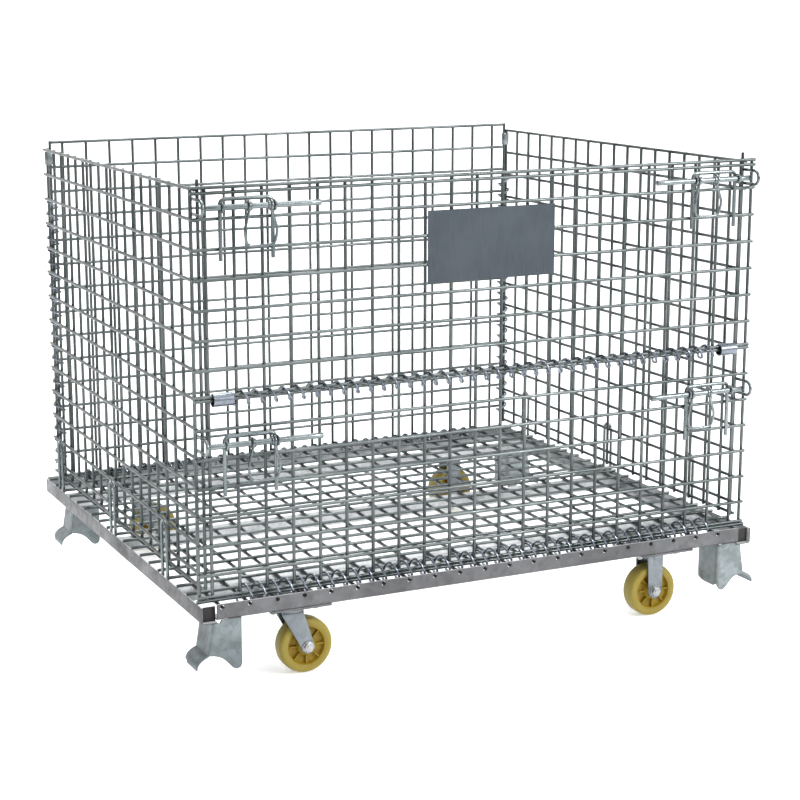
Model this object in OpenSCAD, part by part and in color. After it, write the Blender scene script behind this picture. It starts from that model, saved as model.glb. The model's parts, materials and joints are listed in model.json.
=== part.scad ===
// Folding wire mesh container on casters.
// Units are mm, +Z is up and the gate side faces -Y.
// The origin is the centre of the footprint, on the ground under the wheels.
// The container rests with its gate shut and its four latch bolts drawn back.

/* [Base frame] */
// Width over the outer faces of the side rails
base_w = 1112; // [1000:2:1300]
// Depth over the outer faces of the front and rear rails
base_d = 948; // [900:2:1100]
// Sheet thickness of every rail and cross channel
rail_t = 2.5; // [2:0.5:4]
// Width of the inward flange of each rail
rail_flange = 28; // [20:1:40]
// Underside of the side rails above the ground
side_rail_z = 133; // [120:1:140]
// Height of the side rails
side_rail_h = 30; // [25:1:45]
// Underside of the front and rear rails above the ground
end_rail_z = 138; // [125:1:150]
// Height of the front and rear rails
end_rail_h = 28; // [22:1:35]
// Width of each cross channel under the floor
channel_w = 40; // [30:1:60]
// Distance of the outer cross channels from the middle
channel_y = 338; // [320:1:340]

/* [Mesh] */
// Pitch of the mesh wires
pitch = 50; // [50:50:100]
// Diameter of the mesh wires
wire_d = 6; // [5:0.2:7]
// Gap left for the weld between crossing wires
weld_gap = 0.05; // [0.02:0.01:0.1]

/* [Panels] */
// Half width of the gate and lower front panel, to the end wires
front_half_w = 549; // [500:1:600]
// Distance of the front and back panel rims from the middle
panel_y = 450; // [400:50:550]
// Height of the gate rim above the ground
gate_top_z = 861; // [800:1:900]
// Height of the hinge wire on top of the lower front panel
gate_hinge_z = 510; // [480:1:540]
// Height of the side panel rims
side_top_z = 857; // [800:1:900]
// Height of the back panel rim
back_top_z = 871; // [800:1:900]
// Height of the lowest wire of the side panels
side_low_z = 185; // [180:1:200]
// Distance of the rear corner wires from the middle
corner_x = 527.8; // [500:0.1:560]

/* [Spiral hinges] */
// Wire diameter of the spiral hinges
coil_d = 3.6; // [3:0.1:4]
// Radius of the spirals at their half turns
coil_r = 11.2; // [11:0.1:13]
// Radius of the wider spiral under the lower front panel
floor_coil_r = 15; // [13:0.5:16]
// Pitch of the spiral, two turns to a mesh cell
coil_pitch = 25; // [25:25:50]

/* [Stacking feet] */
// Outer face of each foot from the middle
foot_x = 545; // [520:1:556]
// Width of the foot plate
foot_w = 62; // [45:1:70]
// Depth of the foot flanges
foot_d = 63; // [50:1:80]
// Lowest point of the foot above the ground
foot_low_z = 48; // [40:1:60]
// Sheet thickness of the feet
foot_t = 3; // [2:0.5:5]
// Front face of the rear feet from the middle
rear_foot_y = 335; // [300:1:400]

/* [Latches] */
// Middle of each latch bracket from the middle of the panel
latch_x = 457; // [400:1:480]
// Height of the bolts on the gate
gate_latch_z = 829.5; // [820:0.5:835]
// Height of the bolts on the lower front panel
low_latch_z = 435; // [420:0.5:445]
// Diameter of the latch bolts
bolt_d = 10; // [8:0.5:12]
// Length of the latch bolts
bolt_len = 205; // [180:1:220]
// Travel of the latch bolts
bolt_travel = 40; // [30:1:45]

/* [Casters] */
// Distance of the caster mountings from the middle, left and right
caster_x = 372; // [340:1:400]
// Distance of the caster mountings from the middle, front and back
caster_y = 410; // [380:1:420]
// Diameter of the wheels
wheel_d = 100; // [80:1:125]
// Width of the wheel tread
wheel_w = 32; // [25:1:40]
// Offset of the swivel wheels behind their swivel axis
trail = 27; // [20:1:35]

/* [Hidden] */
$fn = 96;
half_w = base_w / 2;
half_d = base_d / 2;
wire_r = wire_d / 2;
layer = wire_d + weld_gap;
side_rail_top = side_rail_z + side_rail_h;
cross_z = side_rail_top + wire_r + weld_gap;
long_z = cross_z - layer;
channel_top = long_z - wire_r - 0.1;
long_shift = -18.75;
mid_channel_y = -12;
inner_y = -panel_y + layer;
rim_step = wire_d + 0.2;
low_rim_z = cross_z + rim_step;
gate_low_z = gate_hinge_z + rim_step;
side_x = corner_x + rim_step;
side_outer_x = side_x + layer;
side_front_y = -436;
bracket_d = 7;
bracket_half = 46;
bracket_y = -panel_y - wire_r - bracket_d / 2 - weld_gap;
bolt_r = bolt_d / 2;
bolt_y = bracket_y - bracket_d / 2 - 0.35 - bolt_r;
latched_tip = side_x + 39;
bolt_tip = latched_tip - bolt_travel;
handle_half = 19.5;
handle_d = 4.4;
handle_belly = [29, -5, -40];
handle_foot = [24, -1, -66];
loop_r = bolt_r + 0.3 + handle_d / 2;
handle_x = latch_x - bracket_half + bracket_d / 2 + 0.5 + handle_half + handle_d / 2;
eye_r = 12.5;
pad_t = 4;
plate_t = 4;
plate_top = end_rail_z - pad_t;
plate_bottom = plate_top - plate_t;
pad_w = 110;
pad_y0 = channel_y + 7;
pad_y1 = half_d - 2;
plate_w = 100;
plate_d = 80;
hole_dx = 40;
hole_dy = 27;
axle_z = wheel_d / 2;
leg_y = 19;
leg_t = 2.5;

// A straight wire along X
module wire_x(x0, x1, y, z, d = wire_d) {
    translate([x0, y, z])
        rotate([0, 90, 0])
            cylinder(h = x1 - x0, d = d);
}

// A straight wire along Y
module wire_y(y0, y1, x, z, d = wire_d) {
    translate([x, y0, z])
        rotate([-90, 0, 0])
            cylinder(h = y1 - y0, d = d);
}

// An upright wire
module wire_z(z0, z1, x, y, d = wire_d) {
    translate([x, y, z0])
        cylinder(h = z1 - z0, d = d);
}

// Half a turn of a spiral wire, as one tilted half ring with a hairline at each end
module half_turn(r) {
    hairline = 0.05;
    rise = coil_pitch / 4;
    translate([0, 0, rise])
        rotate([0, atan(rise / r), 0])
            rotate([0, 0, hairline])
                rotate_extrude(angle = 180 - 2 * hairline)
                    translate([sqrt(r * r + rise * rise), 0])
                        circle(d = coil_d);
}

// A spiral wire rising along Z
module spiral(turns, r) {
    for (i = [0 : 2 * turns - 1])
        translate([0, 0, i * coil_pitch / 2])
            rotate([0, 0, 180 * i])
                half_turn(r);
}

// A spiral wire along X
module spiral_x(turns, y, z, r) {
    translate([-coil_pitch * (turns / 2 + 0.25), y, z])
        rotate([0, 90, 0])
            spiral(turns, r);
}

// ---- Base frame ----

// An angle rail with a small closing plate set back from its front end
module side_rail() {
    setback = 8;
    color("silver") {
        translate([-half_w, half_d, side_rail_z])
            rotate([90, 0, 0])
                linear_extrude(base_d)
                    polygon([
                        [0, 0], [rail_flange, 0], [rail_flange, rail_t],
                        [rail_t, rail_t], [rail_t, side_rail_h], [0, side_rail_h]
                    ]);
        translate([1 - half_w, setback - half_d, side_rail_z + 1])
            cube([rail_flange - 1.5, rail_t, side_rail_h - 3]);
    }
}

module left_rail() {
    side_rail();
}

module right_rail() {
    mirror([1, 0, 0]) side_rail();
}

// Holes in an end rail for the ends of the long floor wires
module rail_holes(y, last) {
    for (i = [-10 : last])
        wire_y(y - 1, y + rail_t + 1, i * pitch + long_shift, long_z, wire_d + 2 * weld_gap);
}

// The front rail stops short of both side rails, so the front corners stay open
module front_rail() {
    half_len = half_w - rail_flange;
    color("silver")
        difference() {
            translate([-half_len, -half_d, end_rail_z])
                rotate([90, 0, 90])
                    linear_extrude(2 * half_len)
                        polygon([
                            [0, 0], [rail_flange, 0], [rail_flange, rail_t],
                            [rail_t, rail_t], [rail_t, end_rail_h], [0, end_rail_h]
                        ]);
            rail_holes(-half_d, 10);
        }
}

// The rear rail runs right across, so it also closes the two rear corners
module rear_rail() {
    color("silver")
        difference() {
            translate([-half_w + rail_t, half_d, end_rail_z])
                rotate([90, 0, 90])
                    linear_extrude(base_w - 2 * rail_t)
                        polygon([
                            [0, 0], [-rail_flange, 0], [-rail_flange, rail_t],
                            [-rail_t, rail_t], [-rail_t, end_rail_h], [0, end_rail_h]
                        ]);
            rail_holes(half_d - rail_t, 11);
        }
}

module cross_channels() {
    len = base_w - 2 * rail_t;
    h = channel_top - end_rail_z;
    color("silver")
        for (y = [-channel_y, mid_channel_y, channel_y])
            translate([-len / 2, y, end_rail_z])
                rotate([90, 0, 90])
                    linear_extrude(len)
                        difference() {
                            translate([-channel_w / 2, 0])
                                square([channel_w, h]);
                            translate([-channel_w / 2 + rail_t, -1])
                                square([channel_w - 2 * rail_t, h - rail_t + 1]);
                        }
}

module floor_cross_wires() {
    color("gainsboro")
        for (i = [-9 : 9])
            wire_x(-half_w, half_w, i * pitch, cross_z);
}

// The last long wire starts behind the open front corner
module floor_long_wires() {
    color("gainsboro") {
        for (i = [-10 : 10])
            wire_y(-half_d - 0.8, half_d + 0.8, i * pitch + long_shift, long_z);
        wire_y(-panel_y - 5, half_d + 0.8, 11 * pitch + long_shift, long_z);
    }
}

// Pressed stacking foot: a front plate with a tongue and an arch, two flanges and a flared lip
module foot(y) {
    step_x = half_w - rail_flange;
    tongue_r = 12;
    tongue_x = -foot_x + foot_w - tongue_r;
    tongue_z = foot_low_z + tongue_r;
    arch_z = 77;
    draft = 9;
    lip = 30;
    color("lightsteelblue") {
        translate([0, y + foot_t, 0])
            rotate([90, 0, 0])
                linear_extrude(foot_t)
                    union() {
                        polygon([
                            [-foot_x, arch_z], [-foot_x + draft, side_rail_z],
                            [-step_x, side_rail_z], [-step_x, end_rail_z],
                            [-foot_x + foot_w, end_rail_z], [-foot_x + foot_w, tongue_z],
                            [tongue_x, tongue_z], [tongue_x - 7.5, tongue_z - 9],
                            [tongue_x - 19, arch_z - 12.5], [tongue_x - 29, arch_z - 5],
                            [tongue_x - 40, arch_z - 1]
                        ]);
                        translate([tongue_x, tongue_z])
                            circle(r = tongue_r);
                    }
        translate([0, y + foot_d, 0])
            rotate([90, 0, 0])
                linear_extrude(foot_d - foot_t)
                    polygon([
                        [-foot_x, arch_z], [-foot_x + foot_t, arch_z],
                        [-foot_x + draft + foot_t, side_rail_z], [-foot_x + draft, side_rail_z]
                    ]);
        translate([-foot_x + foot_w - foot_t, y + foot_t, foot_low_z + 9])
            cube([foot_t, foot_d - foot_t, end_rail_z - foot_low_z - 9]);
        translate([-foot_x, y, arch_z])
            rotate([0, 45, 0])
                translate([0, 0, -lip])
                    cube([foot_t, foot_d, lip + 1]);
    }
}

module foot_front_left() {
    foot(-half_d);
}

module foot_front_right() {
    mirror([1, 0, 0]) foot(-half_d);
}

module foot_rear_left() {
    foot(rear_foot_y);
}

module foot_rear_right() {
    mirror([1, 0, 0]) foot(rear_foot_y);
}

// Four pads that carry the casters, welded under the rails and outer channels
module caster_pads() {
    color("silver")
        for (sx = [-1, 1], sy = [-1, 1])
            difference() {
                translate([sx * caster_x - pad_w / 2, sy > 0 ? pad_y0 : -pad_y1, plate_top])
                    cube([pad_w, pad_y1 - pad_y0, pad_t]);
                caster_holes(sx, sy);
            }
}

module caster_holes(sx, sy) {
    for (dx = [-hole_dx, hole_dx], dy = [-hole_dy, hole_dy])
        translate([sx * caster_x + dx, sy * caster_y + dy, plate_bottom - 1])
            cylinder(h = pad_t + plate_t + 2, d = 9);
}

// Bent wire stops that hold the foot of each side panel
module side_stops() {
    x = half_w - rail_t - wire_r - weld_gap;
    stop_h = 115;
    color("gainsboro")
        for (s = [-1, 1], y = [-275, 25, 375])
            translate([s * x, y, side_rail_z + rail_t]) {
                wire_z(0, stop_h, 0, -13);
                wire_z(0, stop_h, 0, 13);
                translate([0, 0, stop_h])
                    rotate([90, 0, 90])
                        rotate_extrude(angle = 180)
                            translate([13, 0])
                                circle(d = wire_d);
            }
}

// ---- Back and side panels ----

module back_panel() {
    span = corner_x - wire_r - weld_gap;
    color("gainsboro") {
        for (i = [0 : 13])
            wire_x(-span, span, panel_y, back_top_z - i * pitch);
        wire_x(-span, span, panel_y, low_rim_z);
        for (i = [-10 : 10])
            wire_z(low_rim_z - 2, back_top_z + 2, i * pitch, panel_y + layer);
        for (s = [-1, 1])
            wire_z(low_rim_z - 2, back_top_z + 3, s * corner_x, panel_y);
    }
}

module side_panel() {
    color("gainsboro") {
        for (i = [0 : 13])
            wire_y(side_front_y - 3, panel_y + 3, -side_outer_x, side_top_z - i * pitch);
        wire_y(side_front_y - 3, panel_y + 3, -side_outer_x, side_low_z);
        for (i = [-8 : 8])
            wire_z(side_low_z - 3, side_top_z + 3, -side_x, i * pitch);
        wire_z(side_low_z - 3, side_top_z + 17, -side_x, side_front_y);
        wire_z(side_low_z - 3, side_top_z + 3, -side_x, panel_y);
    }
}

module left_panel() {
    side_panel();
}

module right_panel() {
    mirror([1, 0, 0]) side_panel();
}

// Loops on the front edge of a side panel that the latch bolts slide into
module eyes() {
    x = -side_x - layer - 0.06;
    color("silver")
        for (z = [gate_latch_z, low_latch_z]) {
            for (s = [-1, 1])
                wire_y(bolt_y, side_front_y + 8, x, z + s * eye_r);
            translate([x, bolt_y, z])
                rotate([0, 90, 0])
                    rotate([0, 0, 180])
                        rotate_extrude(angle = 180)
                            translate([eye_r, 0])
                                circle(d = wire_d);
        }
}

module left_panel_eyes() {
    eyes();
}

module right_panel_eyes() {
    mirror([1, 0, 0]) eyes();
}

module corner_spiral() {
    color("darkgray")
        translate([-corner_x, panel_y, side_top_z - 656.25])
            mirror([1, 0, 0])
                spiral(22, coil_r);
}

module left_corner_spiral() {
    corner_spiral();
}

module right_corner_spiral() {
    mirror([1, 0, 0]) corner_spiral();
}

module back_floor_spiral() {
    color("darkgray")
        spiral_x(38, panel_y, cross_z, coil_r);
}

module front_floor_spiral() {
    color("darkgray")
        spiral_x(38, -panel_y, cross_z + wire_d, floor_coil_r);
}

// Folded sheet clips that hold the rear corner wires together at the top
module corner_clips() {
    t = 1.5;
    gap = 0.3;
    long = rim_step + wire_d + 2 * gap;
    wide = wire_d + 2 * gap;
    color("silver")
        for (s = [-1, 1])
            translate([s * (corner_x + side_x) / 2, panel_y, side_top_z - 31])
                difference() {
                    translate([-long / 2 - t, -wide / 2 - t, 0])
                        cube([long + 2 * t, wide + 2 * t, 26]);
                    translate([-long / 2, -wide / 2, -1])
                        cube([long, wide, 28]);
                }
}

// ---- Lower front panel ----

module front_uprights(z0, z1) {
    for (i = [-11 : 10])
        wire_z(z0, z1, i * pitch + pitch / 2, inner_y);
    for (s = [-1, 1])
        wire_z(z0, z1, s * front_half_w, inner_y);
}

module lower_panel() {
    rim = front_half_w + 3;
    color("gainsboro") {
        for (i = [1 : 6])
            wire_x(-rim, rim, -panel_y, gate_hinge_z - i * pitch);
        wire_x(-rim, rim, -panel_y, gate_hinge_z);
        wire_x(-rim, rim, -panel_y, low_rim_z);
        front_uprights(cross_z - 5, gate_hinge_z + 1.5);
    }
}

module gate_spiral() {
    color("darkgray")
        spiral_x(38, -panel_y, gate_hinge_z, coil_r);
}

// Rolled sleeves round the two hinge wires, outside each end of the spiral
module hinge_sleeves() {
    len = 36;
    color("silver")
        for (s = [-1, 1])
            translate([s * 502.5 - len / 2, -panel_y, gate_hinge_z])
                rotate([0, 90, 0])
                    difference() {
                        cylinder(h = len, r = 11.3);
                        translate([0, 0, -1])
                            cylinder(h = len + 2, r = 9.5);
                    }
}

// ---- Gate ----

module gate_panel() {
    rim = front_half_w + 3;
    color("gainsboro") {
        wire_x(-rim, rim, -panel_y, gate_top_z);
        wire_x(-rim, rim, -panel_y, gate_top_z - 9);
        for (i = [1 : 6])
            wire_x(-rim, rim, -panel_y, gate_top_z - 1 - i * pitch);
        wire_x(-rim, rim, -panel_y, gate_low_z);
        front_uprights(gate_low_z - 1.5, gate_top_z + 2.5);
    }
}

module name_plate() {
    color("slategray")
        translate([-125, -panel_y - wire_r - weld_gap - 1.2, 678])
            cube([250, 1.2, 125]);
}

// ---- Latches ----

// Bent wire bracket with two guide rings, centred on x and on the bolt height
module bracket(x, z) {
    bend = 9;
    top = z + 12.5;
    translate([x, bracket_y, 0]) {
        for (s = [-1, 1]) {
            wire_z(z - 88, top - bend, s * bracket_half, 0, bracket_d);
            translate([s * bracket_half, bolt_y - bracket_y, z])
                rotate([0, 90, 0])
                    rotate_extrude()
                        translate([bolt_r + 2.4, 0])
                            circle(d = 4);
            translate([s * (bracket_half - bend), 0, top - bend])
                rotate([90, 0, 0])
                    rotate([0, 0, s > 0 ? 0 : 90])
                        rotate_extrude(angle = 90)
                            translate([bend, 0])
                                circle(d = bracket_d);
        }
        wire_x(-bracket_half + bend, bracket_half - bend, 0, top, bracket_d);
    }
}

module gate_latch_brackets() {
    color("silver")
        for (s = [-1, 1])
            bracket(s * latch_x, gate_latch_z);
}

module lower_latch_brackets() {
    color("silver")
        for (s = [-1, 1])
            bracket(s * latch_x, low_latch_z);
}

// Left bolt with its two collars, drawn back
module bolt(z) {
    collar = 3;
    collar_x = handle_half - handle_d / 2 - 0.2 - collar / 2;
    color("silver") {
        wire_x(-bolt_tip, -bolt_tip + bolt_len, bolt_y, z, bolt_d);
        for (s = [-1, 1])
            translate([-handle_x + s * collar_x - collar / 2, bolt_y, z])
                rotate([0, 90, 0])
                    cylinder(h = collar, d = bolt_d + 5);
    }
}

// A straight run of bent wire from a to b
module link(a, b, d) {
    v = b - a;
    translate(a)
        rotate([0, acos(v[2] / norm(v)), atan2(v[1], v[0])])
            cylinder(h = norm(v), d = d);
}

// A bend in a wire
module knee(p, d) {
    translate(p) sphere(d = d + 0.2);
}

// A point, or its mirror image across X for s = -1
function mirrored(s, p) = [s * p[0], p[1], p[2]];

// Bail handle of a left bolt, hanging from two loops
module handle(z) {
    color("silver")
        translate([-handle_x, bolt_y, z]) {
            for (s = [-1, 1]) {
                translate([s * handle_half, 0, 0])
                    rotate([0, 90, 0])
                        rotate_extrude()
                            translate([loop_r, 0])
                                circle(d = handle_d);
                link([s * handle_half, 0, -loop_r], mirrored(s, handle_belly), handle_d);
                knee(mirrored(s, handle_belly), handle_d);
                link(mirrored(s, handle_belly), mirrored(s, handle_foot), handle_d);
                knee(mirrored(s, handle_foot), handle_d);
            }
            link(mirrored(-1, handle_foot), handle_foot, handle_d);
        }
}

module bolt_gate_left() {
    bolt(gate_latch_z);
}

module bolt_gate_right() {
    mirror([1, 0, 0]) bolt(gate_latch_z);
}

module bolt_lower_left() {
    bolt(low_latch_z);
}

module bolt_lower_right() {
    mirror([1, 0, 0]) bolt(low_latch_z);
}

module handle_gate_left() {
    handle(gate_latch_z);
}

module handle_gate_right() {
    mirror([1, 0, 0]) handle(gate_latch_z);
}

module handle_lower_left() {
    handle(low_latch_z);
}

module handle_lower_right() {
    mirror([1, 0, 0]) handle(low_latch_z);
}

// ---- Casters ----

module top_plate(sx, sy) {
    difference() {
        translate([sx * caster_x - plate_w / 2, sy * caster_y - plate_d / 2, plate_bottom])
            cube([plate_w, plate_d, plate_t]);
        caster_holes(sx, sy);
    }
}

// Swivel plate with its bearing race and king pin
module swivel_plate(sy) {
    color("silver") {
        top_plate(-1, sy);
        translate([-caster_x, sy * caster_y, 0]) {
            translate([0, 0, 124])
                cylinder(h = plate_bottom - 124, r = 27);
            translate([0, 0, 108])
                cylinder(h = 17, r = 6);
            translate([0, 0, 108])
                cylinder(h = 5, r = 10);
        }
    }
}

// Two fork legs, 2.5 mm sheet, cut to the outline that the children draw
module fork_legs() {
    for (y = [-leg_y - leg_t, leg_y])
        translate([0, y + leg_t, 0])
            rotate([90, 0, 0])
                linear_extrude(leg_t)
                    children();
}

// Fork of a swivel caster: a round crown and two raked legs
module swivel_fork(sy) {
    color("lightsteelblue")
        translate([-caster_x, sy * caster_y, 0]) {
            difference() {
                translate([0, 0, 117])
                    cylinder(h = 6.5, r = 29);
                translate([0, 0, 110])
                    cylinder(h = 20, r = 6.08);
            }
            fork_legs()
                difference() {
                    union() {
                        polygon([
                            [-19, 121], [19, 121],
                            [trail + 12.1, axle_z + 4.8], [trail - 12.1, axle_z - 4.8]
                        ]);
                        translate([trail, axle_z])
                            circle(r = 13);
                    }
                    translate([trail, axle_z])
                        circle(r = 5.1);
                }
        }
}

// Fork of a fixed caster: a bolted plate and two upright legs
module fixed_fork(sy) {
    color("lightsteelblue") {
        top_plate(1, sy);
        translate([caster_x, sy * caster_y, 0])
            fork_legs()
                difference() {
                    union() {
                        translate([-17, axle_z + 10])
                            square([34, plate_bottom + 0.5 - axle_z - 10]);
                        polygon([
                            [-17, axle_z + 11], [17, axle_z + 11],
                            [14.6, axle_z], [-14.6, axle_z]
                        ]);
                        translate([0, axle_z])
                            circle(r = 14.6);
                    }
                    translate([0, axle_z])
                        circle(r = 5.1);
                }
    }
}

// Bolts through the caster plates and pads, with a nut on the underside
module caster_bolts() {
    color("gray")
        for (sx = [-1, 1], sy = [-1, 1], dx = [-hole_dx, hole_dx], dy = [-hole_dy, hole_dy])
            translate([sx * caster_x + dx, sy * caster_y + dy, 0]) {
                translate([0, 0, plate_bottom - 9])
                    cylinder(h = end_rail_z - plate_bottom + 9.5, d = 8);
                translate([0, 0, end_rail_z])
                    cylinder(h = 5.3, d = 15, $fn = 6);
                translate([0, 0, plate_bottom - 6.5])
                    cylinder(h = 6.5, d = 15, $fn = 6);
            }
}

// Axle bolt with a head and a nut outside the fork legs
module axle(x, sy) {
    outer = leg_y + leg_t;
    color("gray")
        translate([x, sy * caster_y, axle_z]) {
            wire_y(-outer - 8, outer + 8, 0, 0, 10);
            for (y = [-outer - 6.5, outer])
                translate([0, y, 0])
                    rotate([-90, 0, 0])
                        cylinder(h = 6.5, d = 18.5, $fn = 6);
        }
}

// Moulded wheel with a rounded tread, recessed faces and a long hub
module wheel(x, sy) {
    r = wheel_d / 2;
    w = wheel_w / 2;
    color("goldenrod")
        translate([x, sy * caster_y, axle_z])
            rotate([90, 0, 0])
                rotate_extrude()
                    difference() {
                        union() {
                            translate([8, -w])
                                square([r - 12, 2 * w]);
                            translate([8, -w + 4])
                                square([r - 8, 2 * w - 8]);
                            for (s = [-1, 1])
                                translate([r - 4, s * (w - 4)])
                                    circle(r = 4);
                            translate([5.08, -w - 2])
                                square([12, 2 * w + 4]);
                        }
                        for (s = [-1, 1])
                            translate([17.08, s > 0 ? w - 7 : -w - 3])
                                square([19, 10]);
                    }
}

module swivel_plate_front() {
    swivel_plate(-1);
}

module swivel_plate_rear() {
    swivel_plate(1);
}

module swivel_fork_front() {
    swivel_fork(-1);
}

module swivel_fork_rear() {
    swivel_fork(1);
}

module fixed_fork_front() {
    fixed_fork(-1);
}

module fixed_fork_rear() {
    fixed_fork(1);
}

module axle_swivel_front() {
    axle(-caster_x + trail, -1);
}

module axle_swivel_rear() {
    axle(-caster_x + trail, 1);
}

module axle_fixed_front() {
    axle(caster_x, -1);
}

module axle_fixed_rear() {
    axle(caster_x, 1);
}

module wheel_swivel_front() {
    wheel(-caster_x + trail, -1);
}

module wheel_swivel_rear() {
    wheel(-caster_x + trail, 1);
}

module wheel_fixed_front() {
    wheel(caster_x, -1);
}

module wheel_fixed_rear() {
    wheel(caster_x, 1);
}

left_rail();
right_rail();
front_rail();
rear_rail();
cross_channels();
floor_cross_wires();
floor_long_wires();
foot_front_left();
foot_front_right();
foot_rear_left();
foot_rear_right();
caster_pads();
side_stops();
back_panel();
left_panel();
right_panel();
left_panel_eyes();
right_panel_eyes();
left_corner_spiral();
right_corner_spiral();
back_floor_spiral();
front_floor_spiral();
corner_clips();
lower_panel();
gate_spiral();
hinge_sleeves();
lower_latch_brackets();
gate_panel();
name_plate();
gate_latch_brackets();
bolt_gate_left();
bolt_gate_right();
bolt_lower_left();
bolt_lower_right();
handle_gate_left();
handle_gate_right();
handle_lower_left();
handle_lower_right();
swivel_plate_front();
swivel_plate_rear();
swivel_fork_front();
swivel_fork_rear();
fixed_fork_front();
fixed_fork_rear();
caster_bolts();
axle_swivel_front();
axle_swivel_rear();
axle_fixed_front();
axle_fixed_rear();
wheel_swivel_front();
wheel_swivel_rear();
wheel_fixed_front();
wheel_fixed_rear();
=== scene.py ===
import json
import math

import bmesh
import bpy
import numpy as np
from mathutils import Matrix, Vector


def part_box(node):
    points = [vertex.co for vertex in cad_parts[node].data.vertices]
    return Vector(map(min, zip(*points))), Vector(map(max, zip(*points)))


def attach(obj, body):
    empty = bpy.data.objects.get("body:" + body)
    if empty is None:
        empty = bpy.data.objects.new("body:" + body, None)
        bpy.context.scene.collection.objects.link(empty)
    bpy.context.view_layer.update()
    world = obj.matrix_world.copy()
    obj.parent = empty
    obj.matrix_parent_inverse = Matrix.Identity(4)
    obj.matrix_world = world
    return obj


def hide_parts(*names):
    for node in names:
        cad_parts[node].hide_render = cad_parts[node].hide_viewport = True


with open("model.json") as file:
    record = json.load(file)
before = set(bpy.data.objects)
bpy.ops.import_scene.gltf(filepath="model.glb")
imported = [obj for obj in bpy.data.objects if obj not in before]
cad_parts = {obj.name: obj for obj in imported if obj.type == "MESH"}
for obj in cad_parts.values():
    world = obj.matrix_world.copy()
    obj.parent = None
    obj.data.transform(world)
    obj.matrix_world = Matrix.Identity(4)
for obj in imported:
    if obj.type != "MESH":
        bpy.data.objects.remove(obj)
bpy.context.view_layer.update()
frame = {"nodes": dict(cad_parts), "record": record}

nodes = frame["nodes"]
rng = np.random.default_rng(11)

# Driving dimensions, in metres
MM = 0.001
PITCH = 50 * MM              # mesh pitch
WIRE_R = 3 * MM              # mesh wire radius
COIL_WIRE_R = 2.2 * MM       # spiral hinge wire radius
COIL_R = 11.2 * MM           # spiral hinge radius at its half turns
FLOOR_COIL_R = 15 * MM       # the wider spiral under the lower front panel
COIL_PITCH = 25 * MM         # spiral hinge pitch
SHEET = 2.5 * MM             # rail, channel and fork sheet
FOOT_SHEET = 3 * MM
BRACKET_WIRE_R = 3.5 * MM
BRACKET_HALF = 46 * MM       # half the spacing of a latch bracket's guide rings
LATCH_X = 457 * MM           # middle of each latch bracket
BOLT_R = 5 * MM
HANDLE_WIRE_R = 2.5 * MM
WHEEL_R = 50 * MM
CORNER_X = 527.8 * MM        # rear corner wires
STOP_Y = (-275 * MM, 25 * MM, 375 * MM)
CLOSER_SETBACK = 8 * MM      # of the closing plate in a side rail's front end
POINT = 0.02 * MM            # radius that stands for the middle of a turned face


# ---------------------------------------------------------------- materials

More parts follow.
